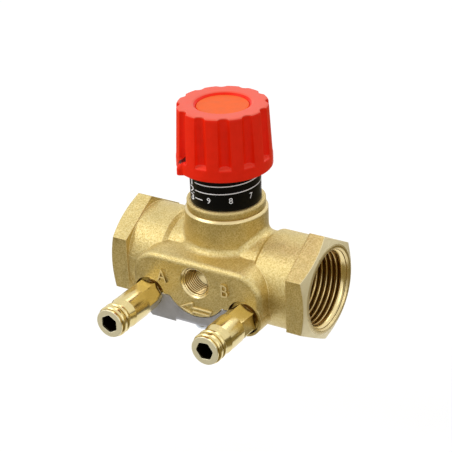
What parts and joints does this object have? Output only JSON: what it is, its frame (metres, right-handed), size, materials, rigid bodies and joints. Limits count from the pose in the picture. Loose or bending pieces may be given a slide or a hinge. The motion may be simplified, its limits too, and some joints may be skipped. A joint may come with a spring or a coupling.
{
  "type": "balancing valve",
  "caption": "Brass pipe valve with hexagon ends, red fluted knob over a numbered dial, front boss with a threaded port, and test plugs held by a bent plate.",
  "frame": {"origin": "outer end of the inlet pipe thread, on the pipe's axis", "axes": "+X out of the inlet along the pipe, +Z along the stem towards the knob, -Y towards the test plugs"},
  "size_m": [0.0738, 0.0597, 0.0757],
  "materials": {
    "cast_brass": "sand-blasted",
    "turned_brass": "machined",
    "rubber": "satin",
    "black_plastic": "satin",
    "red_plastic": "moulded",
    "orange_plastic": "moulded",
    "grey_steel": "phosphated",
    "zinc_steel": "zinc plated"
  },
  "bodies": {
    "valve": {"valve_body": "cast_brass", "bonnet": "turned_brass", "bonnet_o_ring": "rubber", "spindle_o_ring_lower": "rubber", "spindle_o_ring_upper": "rubber", "scale_drum": "black_plastic", "retaining_plate": "grey_steel", "plate_screw": "zinc_steel"},
    "cone": {"valve_cone": "turned_brass", "cone_seal": "rubber", "seal_washer": "turned_brass"},
    "knob": {"knob": "red_plastic", "knob_cap": "orange_plastic", "knob_screw": "zinc_steel", "spindle": "turned_brass", "cone_clip": "zinc_steel"},
    "plug_a": {"test_plug_a": "turned_brass", "test_plug_a_o_ring": "rubber", "test_plug_a_tip_seal": "rubber"},
    "plug_b": {"test_plug_b": "turned_brass", "test_plug_b_o_ring": "rubber", "test_plug_b_tip_seal": "rubber"}
  },
  "joints": [
    {"name": "lift", "type": "slide", "parent": "valve", "child": "cone", "axis": [0, 0, 1], "range_m": [-0.009, 0]},
    {"name": "knob_turn", "type": "hinge", "parent": "cone", "child": "knob", "pos_m": [-0.0371, 0, 0.045], "axis": [0, 0, 1], "range_deg": [-1080, 0]},
    {"name": "plug_a_turn", "type": "hinge", "parent": "valve", "child": "plug_a", "pos_m": [-0.0548, -0.03, -0.00513], "axis": [0, -1, 0], "range_deg": [0, 180]},
    {"name": "plug_b_turn", "type": "hinge", "parent": "valve", "child": "plug_b", "pos_m": [-0.0194, -0.03, -0.00513], "axis": [0, -1, 0], "range_deg": [0, 180]}
  ],
  "couplings": [
    {"joint": "knob_turn", "follows": "lift", "rad_per_m": 2094.4}
  ]
}
